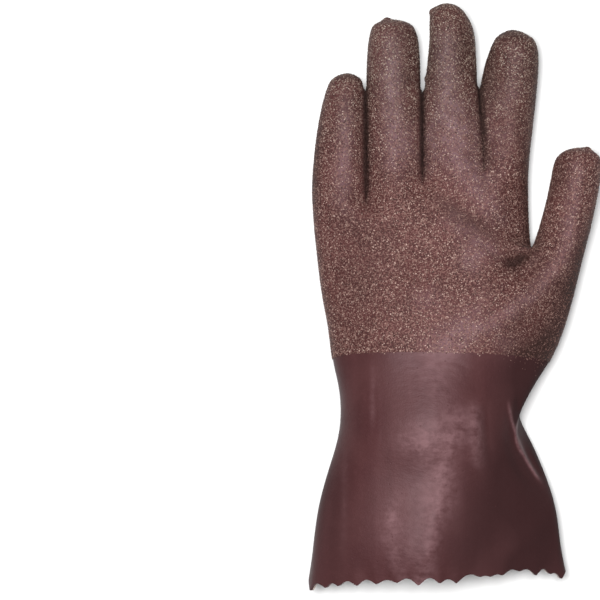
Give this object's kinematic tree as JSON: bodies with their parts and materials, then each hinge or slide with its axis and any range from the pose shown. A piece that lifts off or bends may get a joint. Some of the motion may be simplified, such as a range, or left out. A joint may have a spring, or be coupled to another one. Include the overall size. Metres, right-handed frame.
{
  "type": "rubber work glove",
  "caption": "Right-hand rubber work glove lying palm up: crumb-coated hand with fingers and thumb, smooth gauntlet cuff with a scalloped hem, cotton lining, open and hollow inside",
  "frame": {"origin": "under the middle of the glove's bounding box, on the surface that it lies on", "axes": "+Y from the cuff's hem to the fingertips, +X towards the thumb, +Z out of the palm, upwards"},
  "size_m": [0.1502, 0.2992, 0.0537],
  "materials": {
    "crumb_coated_rubber": "dark maroon natural rubber densely coated with fine tan rubber crumb",
    "smooth_rubber": "satin smooth maroon natural rubber",
    "cotton": "matt undyed cotton knit"
  },
  "bodies": {
    "root": {"rough_hand": "crumb_coated_rubber", "gauntlet_cuff": "smooth_rubber", "cotton_lining": "cotton"}
  },
  "joints": []
}
